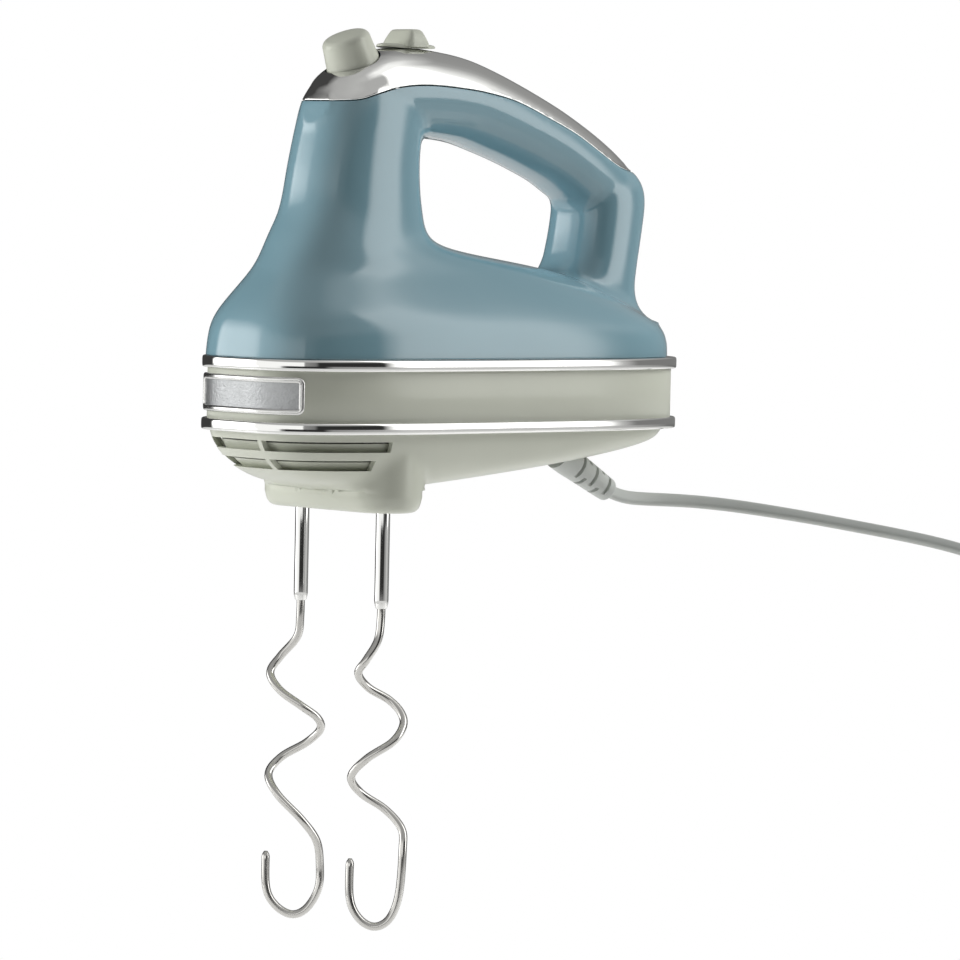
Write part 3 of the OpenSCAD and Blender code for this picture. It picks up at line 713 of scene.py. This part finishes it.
def thicken(ob, thick, rim=0.0):
    """gives an open shell its wall, inward, and softens the edges of its rim"""
    use_modifier(ob, "SOLIDIFY", thickness=thick / 1000, offset=-1, use_rim=True, use_even_offset=False)
    if rim:
        use_modifier(ob, "BEVEL", width=rim / 1000, segments=2, limit_method="ANGLE",
                     angle_limit=math.radians(50), use_clamp_overlap=True, harden_normals=False)


def level(z):
    """a height curve that stays at z"""
    return lambda x: np.full(len(x), z)


STEP = 1.5
seam_curve = lookup(seam)
rough, exact = shape_union([dome_shape, grip_shape, post_shape], [9, 9])
body_points, body_faces = skin(rough, exact, (-104, -42, -3), (104, 42, 117), STEP)

gap = 0.22
blue_points, blue_faces = trimmed(body_points, body_faces, [
    (level(0.15), True), (lambda x: seam_curve(x)[0] - gap, False)])
shell = make_object("blue_shell", blue_points, blue_faces, BLUE)
thicken(shell, 1.8, 0.35)
dress(shell, BLUE, 50)
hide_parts("upper_shell")

trim_points, trim_faces = trimmed(body_points, body_faces, [(lambda x: seam_curve(x)[0] + gap, True)])
trim = make_object("grip_trim", trim_points, trim_faces, CHROME)
thicken(trim, 1.2, 0.3)
dress(trim, CHROME, 50)
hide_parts("handle_trim")


def cut_away(ob, cutter, material, smooth=50):
    use_modifier(ob, "BOOLEAN", operation="DIFFERENCE", object=cutter, solver="EXACT")
    bpy.data.objects.remove(cutter)
    dress(ob, material, smooth)


def loose_tool(points, faces):
    data = bpy.data.meshes.new("tool")
    data.from_pydata(to_row(points).tolist(), [], faces)
    ob = bpy.data.objects.new("tool", data)
    bpy.context.collection.objects.link(ob)
    bm = bmesh.new()
    bm.from_mesh(data)
    bmesh.ops.recalc_face_normals(bm, faces=bm.faces)
    bm.to_mesh(data)
    bm.free()
    return ob


def prism(outline, low, high, place):
    """a straight-sided block over a closed outline, as points and faces"""
    n = len(outline)
    pts = np.array([[x, y, z] for z in (low, high) for x, y in outline])
    faces = [(i, (i + 1) % n, n + (i + 1) % n, n + i) for i in range(n)]
    faces += [tuple(range(n))[::-1], tuple(range(n, 2 * n))]
    return place(pts), faces


# ---------------------------------------------------------------- trim bands, belt and badge

half_w, nose_power, rear_power = 41, 3.35, 3.5
rear_l, nose_l = 103, round(squarer(103, half_w, 2.9, nose_power), 1)


def outline_at(inset, count=320):
    """the bands' outline, moved in by inset, with points an even distance apart"""
    a = np.linspace(0, 2 * math.pi, 6001)
    c, s = np.cos(a), np.sin(a)
    p = np.where(c < 0, nose_power, rear_power)
    x = (np.where(c < 0, nose_l, rear_l) - inset) * np.sign(c) * np.abs(c) ** (2 / p)
    y = (half_w - inset) * np.sign(s) * np.abs(s) ** (2 / p)
    length = np.r_[0, np.cumsum(np.hypot(np.diff(x), np.diff(y)))]
    at = np.linspace(0, length[-1], count, endpoint=False)
    return np.stack([np.interp(at, length, x), np.interp(at, length, y)], 1)


def ring_mesh(profile, count=320):
    """a closed ring round the body from a profile [[inset, z], ...]"""
    loops = [outline_at(i, count) for i, _ in profile]
    pts = np.concatenate([np.c_[loop, np.full(count, z)] for loop, (_, z) in zip(loops, profile)])
    m = len(profile)
    faces = [(r * count + i, r * count + (i + 1) % count, (r + 1) % m * count + (i + 1) % count,
              (r + 1) % m * count + i) for r in range(m) for i in range(count)]
    return pts, faces


def band_profile(top):
    """outer face slightly crowned between two soft edges"""
    low = top - 4.3
    outer = [(0.95, top), (0.55, top - 0.06), (0.22, top - 0.24), (0.06, top - 0.6), (0.0, top - 1.3),
             (0.0, low + 1.3), (0.06, low + 0.6), (0.22, low + 0.24), (0.55, low + 0.06), (0.95, low)]
    return outer + [(4.2, low), (4.2, top)]


for name, top, node in (("upper_trim_band", 0.0, "upper_band"), ("lower_trim_band", -22.5, "lower_band")):
    band = make_object(name, *ring_mesh(band_profile(top)), CHROME, smooth=40)
    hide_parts(node)

belt_profile = [(1.9, -4.25), (1.8, -4.4), (1.8, -22.4), (1.9, -22.55), (4.0, -22.5), (4.0, -4.3)]
belt = make_object("cream_belt", *ring_mesh(belt_profile), CREAM, smooth=40)
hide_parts("belt")

belt_line = outline_at(1.8, 6000)
belt_line = np.roll(belt_line, -int(np.argmin(belt_line[:, 0] + np.abs(belt_line[:, 1]) * 1e-3)), axis=0)
belt_s = np.r_[0, np.cumsum(np.linalg.norm(np.diff(belt_line, axis=0), axis=1))]
belt_total = belt_s[-1]


def on_belt(s, z, out):
    """points on the belt: s along it from the nose, height z, and out from its face"""
    s = np.asarray(s, float) % belt_total
    x, y = np.interp(s, belt_s, belt_line[:, 0]), np.interp(s, belt_s, belt_line[:, 1])
    x2, y2 = (np.interp((s + 0.5) % belt_total, belt_s, belt_line[:, k]) for k in (0, 1))
    x1, y1 = (np.interp((s - 0.5) % belt_total, belt_s, belt_line[:, k]) for k in (0, 1))
    tx, ty = x2 - x1, y2 - y1
    size = np.hypot(tx, ty)
    nx, ny = ty / size, -tx / size
    return np.stack([x + nx * out, y + ny * out, np.asarray(z, float) + 0 * s], -1)


badge_half, badge_low, badge_high, badge_shift = 27.0, -19.9, -6.3, 2.4


def badge_loop(inset, per_side=44):
    """a rounded rectangle in belt coordinates, with many points along its long sides"""
    a, lo, hi = badge_half - inset, badge_low + inset, badge_high - inset
    r = min(max(0.15, 2.6 - inset), 0.45 * (hi - lo))
    base = rounded([[-a, lo], [a, lo], [a, hi], [-a, hi]], r, 6)
    out = []
    n = len(base)
    for i in range(n):
        p, q = base[i], base[(i + 1) % n]
        k = {5: per_side, 17: per_side, 11: 8, 23: 8}.get(i, 1)
        out += [p + (q - p) * f for f in np.arange(k) / k]
    return np.array(out)


def badge_mesh(steps):
    """nested loops (inset, height out of the belt), open at both ends"""
    loops = [badge_loop(i) for i, _ in steps]
    n = len(loops[0])
    pts = np.concatenate([on_belt(l[:, 0] + badge_shift, l[:, 1], h) for l, (_, h) in zip(loops, steps)])
    return pts, tube_faces(len(steps), n, capped=False)


frame_steps = [(0, -0.4), (0, 0.95), (0.25, 1.3), (0.7, 1.45), (1.5, 1.45), (1.95, 1.25), (2.15, 0.9),
               (2.15, -0.4)]
badge_frame = make_object("badge_frame", *badge_mesh(frame_steps), BADGE_FRAME, smooth=50)
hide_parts("badge_frame")
plate_steps = [(2.1, -0.3), (2.1, 0.7)] + [(i, 0.7) for i in (2.6, 3.4, 4.4, 5.4, 6.4, 6.8)]
badge_plate = make_object("badge_plate", *badge_mesh(plate_steps), BADGE, smooth=50)
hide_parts("badge_plate")


# ---------------------------------------------------------------- lower housing

rough, exact = shape_union([hull_shape, boss_shape], [7])
base_points, base_faces = skin(rough, exact, (-104, -42, -58), (104, 42, -24), STEP * 0.72)
base_points, base_faces = trimmed(base_points, base_faces, [(level(housing_top), False)])
base = make_object("lower_housing", base_points, base_faces, CREAM)
thicken(base, 2.0)
dress(base, CREAM, 50)
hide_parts("lower_housing")

vents = [("upper_vent_liner", -33.2, -56), ("lower_vent_liner", -40.0, -61)]
for _, z, end in vents:
    for y0, y1 in ((-60, -10.2), (-8.2, 24), (26, 60)):
        outline = rounded([[-118, y0], [end, y0], [end, y1], [-118, y1]], 0.5)
        cut_away(base, loose_tool(*prism(outline, z, z + 3.8, lambda p: p)), CREAM)
hull_look = lookup(hull, 1.2)


def liner_mesh(low, high, inset):
    """an open strip that follows the hull's front inside the wall, behind a row of slots"""
    levels, count = np.linspace(low, high, 6), 90
    a = np.linspace(-1.5, 1.5, 1200)
    pts = []
    for z in levels:
        front, rear, middle, half, power = (v[0] for v in hull_look(np.array([z])))
        x = middle - (middle - front - inset) * np.cos(a) ** (2 / power)
        y = (half - inset) * np.sign(a) * np.abs(np.sin(a)) ** (2 / power)
        kept = x < -52
        line = even(np.c_[x[kept], y[kept], np.full(kept.sum(), z)], 1)
        line = even(line, np.linalg.norm(np.diff(line, axis=0), axis=1).sum() / (count - 1))
        pts.append(line[:count])
    faces = [(k * count + i, k * count + i + 1, (k + 1) * count + i + 1, (k + 1) * count + i)
             for k in range(len(levels) - 1) for i in range(count - 1)]
    return np.concatenate(pts), faces


for name, z, _ in vents:
    liner = make_object(name, *liner_mesh(z - 1.4, z + 3.1, 3.1), CREAM)
    thicken(liner, 0.8)
    dress(liner, CREAM)

for y in (-spindle_y, spindle_y):
    cut_away(base, loose_tool(*lathe([(3.5, -62), (3.5, -44)], 40,
                                     lambda p, y=y: p + [spindle_x, y, 0])), CREAM)

# ---------------------------------------------------------------- strain relief

relief_tilt = math.radians(28.5)


def tilted(p, foot, axis, across):
    """places points whose z runs along axis, from foot, and whose x runs across it"""
    p = np.asarray(p, float)
    return foot + p[:, 2:] * np.array(axis) + p[:, 1:2] * np.array([0, 1, 0]) + p[:, :1] * np.array(across)


def on_relief(p):
    """local z runs out of the relief's free end"""
    c, s = math.cos(relief_tilt), math.sin(relief_tilt)
    return tilted(p, relief_end, [c, 0, -s], [s, 0, c])


relief_profile = [(5.8, -30), (5.8, -25), (5.5, -20), (5.1, -12), (4.75, -5), (4.5, -1), (4.3, -0.3),
                  (3.9, 0), (2.0, 0)]
relief = make_object("strain_relief", *lathe(relief_profile, 40, on_relief), LEAD)
for k, z in enumerate(range(-20, 0, 4)):
    for s in (0, 1):
        lo, hi = (2.9, 9) if s else (-9, -2.9)
        outline = [[lo, z - 1.2], [hi, z - 1.2], [hi, z + 0.4], [lo, z + 0.4]]
        if k % 2:
            block = prism(outline, -9, 9, lambda p: on_relief(p[:, [0, 2, 1]]))
        else:
            block = prism(outline, -9, 9, lambda p: on_relief(p[:, [2, 0, 1]]))
        cut_away(relief, loose_tool(*block), LEAD, 40)
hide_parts("strain_relief")
hole = lathe([(6.4, -40), (6.4, 10)], 40, on_relief)
cut_away(base, loose_tool(*hole), CREAM)

# ---------------------------------------------------------------- eject button and speed slider

button_tilt = math.radians(24)
button_top = np.array([-51, 0, 116.4])


def on_button(p):
    """local z points out of the button's top"""
    c, s = math.cos(button_tilt), math.sin(button_tilt)
    return tilted(p, button_top, [-s, 0, c], [c, 0, s])


edge = [(6.2 + 2.8 * math.sin(a), -2.9 + 2.8 * math.cos(a)) for a in np.radians(np.arange(0, 91, 10))]
button_profile = [(0.3, 0.6), (2, 0.57), (4, 0.4), (5.4, 0.12)] + edge + [
    (9.3, -6), (9.65, -9), (10, -12), (10, -20)]
button = make_object("eject_button", *lathe(button_profile, 64, on_button), CREAM, "button", smooth=45)
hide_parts("eject_button")
cut_away(trim, loose_tool(*lathe([(10.6, -30), (10.6, 5)], 64, on_button)), CHROME)
slot = rounded([[-26, -3], [-4, -3], [-4, 3], [-26, 3]], 1.5)
cut_away(trim, loose_tool(*prism(slot, 100, 122, lambda p: p)), CHROME)

slider_x = -21


def slider_mesh():
    """crosswise thumb bar: rows of (half depth front, rear, half width, height)"""
    rows = [(6.2, 6.4, 7.9, 113.0), (5.8, 6.0, 7.9, 114.6), (4.8, 5.0, 7.5, 116.2), (3.9, 4.2, 6.9, 117.6),
            (3.2, 3.6, 6.3, 118.7), (2.6, 3.0, 5.6, 119.3), (1.7, 2.1, 4.7, 119.5)]
    n = 48
    pts = []
    for a_front, a_rear, b, z in rows:
        for t in np.arange(n) * 2 * math.pi / n:
            c, s = math.cos(t), math.sin(t)
            a = a_front if c < 0 else a_rear
            p = 2 / 4.5
            pts.append([slider_x + a * math.copysign(abs(c) ** p, c), b * math.copysign(abs(s) ** p, s), z])
    return np.array(pts), tube_faces(len(rows), n)


slider = make_object("speed_slider", *slider_mesh(), CREAM, "slider", smooth=40)
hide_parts("speed_slider")


def flange_mesh():
    """thin plate under the bar, bowed across to follow the trim"""
    rows = [(1.0, 0.0), (1.0, 0.5), (0.96, 0.9), (0.85, 1.15), (0.4, 1.2)]
    n = 64
    pts = []
    for k, lift in rows:
        for t in np.arange(n) * 2 * math.pi / n:
            c, s = math.cos(t), math.sin(t)
            x = 12.5 * k * math.copysign(abs(c) ** 0.8, c)
            y = 6.5 * k * math.copysign(abs(s) ** 0.8, s)
            pts.append([slider_x + x, y, 113.05 + lift - 0.016 * y * y])
    return np.array(pts), tube_faces(len(rows), n)


flange = make_object("slider_flange", *flange_mesh(), CREAM, "slider", smooth=40)

# ---------------------------------------------------------------- dough hooks

left_bends = [
    [0, 0, -72], [0, 0, -84], [0, 0, -96], [-1, 1, -104], [-7, 3, -111.5], [-10.7, 1, -117.5],
    [-7, -3, -123.5], [1, -5, -129], [7, -3, -133.5], [8.2, 0, -138], [3, 4, -143.5],
    [-6, 5, -149], [-10.6, 1, -155], [-7, -4, -162], [2, -5, -171], [7.6, -2, -179],
    [9, 0, -188], [8.6, 0, -197], [4.4, 0, -204.4], [-1, 0, -206.8], [-7, 0, -203.6],
    [-10.6, 0, -197], [-11, 0, -183.5],
]
right_bends = [
    [0, 0, -72], [0, 0, -84], [0, 0, -94], [-1, -1, -102], [-5, -3, -109], [-7.8, -1, -114],
    [-4, 3, -119.5], [3.5, 5, -124], [8, 3, -128.5], [8.8, 0, -133], [5, -4, -138.5],
    [-4, -5, -144.5], [-9.6, -1, -151.5], [-6, 4, -158], [3, 5, -164], [9, 2, -170.5],
    [9.6, 0, -178], [8.6, 0, -194], [5.4, 0, -203], [0, 0, -206.2], [-5.6, 0, -203.4],
    [-9.2, 0, -196], [-9.4, 0, -181.5],
]
hook_turn = math.radians(-42)
sleeve_profile = [(2.0, -11.0), (2.5, -11.4), (2.6, -12), (2.6, -87.4), (2.5, -88.6), (2.2, -89.8),
                  (1.95, -90.4), (1.6, -90.5)]
for side_name, s, bends in (("left", 1, left_bends), ("right", -1, right_bends)):
    foot = np.array([spindle_x, s * spindle_y, 0])
    b = np.array(bends, float)
    c, d = math.cos(hook_turn), math.sin(hook_turn)
    path = np.stack([c * b[:, 0] - d * b[:, 1], d * b[:, 0] + c * b[:, 1], b[:, 2]], 1) + foot
    path = even(catmull(path, 8), 1.0)
    n = len(path)
    size = np.ones(n)
    size[-2:] = (0.86, 0.45)
    wire_mesh = sweep(path, circle(1.5, 16), steady_sides(path), np.zeros(n), size)
    wire = make_object(f"{side_name}_hook_wire", *wire_mesh, WIRE, f"{side_name}_beater", smooth=60)
    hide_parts(f"{side_name}_hook")
    tube = make_object(f"{side_name}_hook_sleeve", *lathe(sleeve_profile, 40, lambda p, f=foot: p + f),
                       CHROME, f"{side_name}_beater", smooth=40)
    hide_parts(f"{side_name}_sleeve")

# ---------------------------------------------------------------- carried-over CAD nodes

by_node = {
    "bronze": ("left_bushing", "right_bushing", "nose_bearing", "front_bearing", "rear_bearing",
               "brush_holders", "worm"),
    "copper_wire": ("rotor_windings", "field_coils", "commutator"),
    "white_nylon": ("left_worm_wheel", "right_worm_wheel", "cooling_fan", "eject_guide",
                    "terminal_block"),
    "black_plastic": ("eject_crosshead", "switch_body", "carbon_brushes", "cord_clamp"),
    "green_board": ("control_board",),
}
finish_by_node = {n: INNER[k] for k, group in by_node.items() for n in group}
for name, ob in nodes.items():
    finish = finish_by_node.get(name, INNER["inner_steel"])
    if not ob.material_slots:
        ob.data.materials.append(finish)
    for s in ob.material_slots:
        s.material = finish

# ---------------------------------------------------------------- floor, lights, world

floor_z = -0.62
bm = bmesh.new()
bmesh.ops.create_grid(bm, x_segments=24, y_segments=24, size=1.2)
for v in bm.verts:
    v.co.z = floor_z
data = bpy.data.meshes.new("floor")
bm.to_mesh(data)
bm.free()
floor = bpy.data.objects.new("floor", data)
bpy.context.collection.objects.link(floor)
PALE = finish_of("pale_floor", (0.80, 0.80, 0.79), 0.01, 2, (0.6, 0.7), 200, 0.02, 0.0005)
PALE.node_tree.nodes["Principled BSDF"].inputs["Emission Color"].default_value = (0.8, 0.8, 0.79, 1)
PALE.node_tree.nodes["Principled BSDF"].inputs["Emission Strength"].default_value = 0.25
floor.data.materials.append(PALE)


def soft_light(name, azimuth, elevation, distance, size, power, target=(0, 0, -0.1)):
    """a square softbox, its direction counted like the camera's"""
    a, e = math.radians(azimuth), math.radians(elevation)
    back = Vector((math.sin(a) * math.cos(e), -math.cos(a) * math.cos(e), math.sin(e)))
    data = bpy.data.lights.new(name, "AREA")
    data.shape, data.size, data.size_y = "RECTANGLE", size[0], size[1]
    data.energy = power
    ob = bpy.data.objects.new(name, data)
    ob.location = Vector(target) + back * distance
    ob.rotation_mode = "QUATERNION"
    ob.rotation_quaternion = back.to_track_quat("Z", "Y")
    ob.visible_glossy = False
    bpy.context.collection.objects.link(ob)


soft_light("key_right", 70, 26, 1.7, (0.9, 0.9), 24)
soft_light("key_left", -130, 12, 1.7, (0.9, 1.1), 21)

world = bpy.data.worlds.new("studio")
bpy.context.scene.world = world
world.use_nodes = True
t = world.node_tree
t.nodes.clear()
out = t.nodes.new("ShaderNodeOutputWorld")
shown = t.nodes.new("ShaderNodeBackground")
shown.inputs["Color"].default_value = (1, 1, 1, 1)
lit = t.nodes.new("ShaderNodeBackground")
pick = t.nodes.new("ShaderNodeMixShader")
rays = t.nodes.new("ShaderNodeLightPath")
place = t.nodes.new("ShaderNodeTexCoord")
parts = t.nodes.new("ShaderNodeSeparateXYZ")
t.links.new(place.outputs["Generated"], parts.inputs["Vector"])
heading = t.nodes.new("ShaderNodeMath")
heading.operation = "ARCTAN2"
t.links.new(parts.outputs["Y"], heading.inputs[0])
t.links.new(parts.outputs["X"], heading.inputs[1])
share = t.nodes.new("ShaderNodeMapRange")
share.inputs["From Min"].default_value, share.inputs["From Max"].default_value = -math.pi, math.pi
t.links.new(heading.outputs["Value"], share.inputs["Value"])


def ramp_of(stops, source):
    r = t.nodes.new("ShaderNodeValToRGB")
    els = r.color_ramp.elements
    while len(els) > 1:
        els.remove(els[-1])
    for k, (pos, v) in enumerate(stops):
        e = els[0] if k == 0 else els.new(pos)
        e.position = pos
        e.color = (v, v, v * 0.985, 1)
    t.links.new(source, r.inputs["Fac"])
    return r


high = t.nodes.new("ShaderNodeMapRange")
high.inputs["From Min"].default_value, high.inputs["From Max"].default_value = -1, 1
t.links.new(parts.outputs["Z"], high.inputs["Value"])


BRIGHTEST = 5.0


def round_ring(stops):
    """brightness against heading in degrees; 1 in the ramp stands for BRIGHTEST"""
    return ramp_of([((a + 180) / 360, v / BRIGHTEST) for a, v in stops], share.outputs["Result"])


def by_height(stops):
    """a value against elevation in degrees"""
    return ramp_of([((math.sin(math.radians(e)) + 1) / 2, v) for e, v in stops], high.outputs["Result"])


def blend(factor, a, b):
    mix = t.nodes.new("ShaderNodeMix")
    mix.data_type = "RGBA"
    t.links.new(factor.outputs["Color"], mix.inputs["Factor"])
    t.links.new(a, mix.inputs["A"])
    t.links.new(b, mix.inputs["B"])
    return mix.outputs["Result"]


# what the glossy surfaces mirror: tall bright panels left and right, dark in front of the mixer
level_ring = round_ring([
    (-180, 1.1), (-128, 1.1), (-126, 0.3), (-112, 0.2), (-108, 0.03), (-66, 0.03), (-58, 2.8), (-43, 2.8),
    (-36, 0.6), (-30, 0.22), (40, 0.22), (55, 0.05), (112, 0.05), (118, 3.0), (138, 3.0), (146, 1.1),
    (180, 1.1)])
raised_ring = round_ring([
    (-180, 0.45), (-66, 0.48), (-60, 2.8), (-43, 2.8), (-34, 1.1), (-24, 0.6), (-15, 0.42), (0, 0.34),
    (40, 0.3), (60, 0.06), (105, 0.06), (125, 0.28), (145, 0.4), (180, 0.45)])
top_ring = round_ring([
    (-180, 0.48), (-90, 0.55), (-62, 1.1), (-30, 1.1), (-12, 0.9), (0, 0.62), (40, 0.36), (80, 0.34),
    (120, 0.45), (180, 0.48)])
low_ring = round_ring([
    (-180, 1.1), (-170, 1.0), (-164, 0.3), (-156, 0.03), (-102, 0.03), (-94, 0.3), (-66, 0.45), (-58, 0.62),
    (-42, 0.6), (-28, 0.4), (0, 0.2), (40, 0.15), (60, 0.05), (112, 0.05), (119, 2.4), (140, 2.2),
    (150, 1.1), (180, 1.1)])
zenith = round_ring([(-180, 0.5)])
below = round_ring([(-180, 0.75)])
mirrored = blend(by_height([(12, 0), (22, 1)]), level_ring.outputs["Color"], raised_ring.outputs["Color"])
mirrored = blend(by_height([(45, 0), (57, 1)]), mirrored, top_ring.outputs["Color"])
mirrored = blend(by_height([(68, 0), (82, 1)]), mirrored, zenith.outputs["Color"])
mirrored = blend(by_height([(-3.5, 1), (-3.0, 0)]), mirrored, low_ring.outputs["Color"])
mirrored = blend(by_height([(-11, 1), (-8.5, 0)]), mirrored, below.outputs["Color"])
# what lights the matt part of every surface: soft light from above and from the pale floor
ambient = by_height([(-40, 0.15), (-10, 0.024), (20, 0.024), (50, 0.09)])
chosen = t.nodes.new("ShaderNodeMix")
chosen.data_type = "RGBA"
t.links.new(rays.outputs["Is Glossy Ray"], chosen.inputs["Factor"])
t.links.new(ambient.outputs["Color"], chosen.inputs["A"])
t.links.new(mirrored, chosen.inputs["B"])
t.links.new(chosen.outputs["Result"], lit.inputs["Color"])
lit.inputs["Strength"].default_value = BRIGHTEST
t.links.new(rays.outputs["Is Camera Ray"], pick.inputs["Fac"])
t.links.new(lit.outputs["Background"], pick.inputs[1])
t.links.new(shown.outputs["Background"], pick.inputs[2])
t.links.new(pick.outputs["Shader"], out.inputs["Surface"])
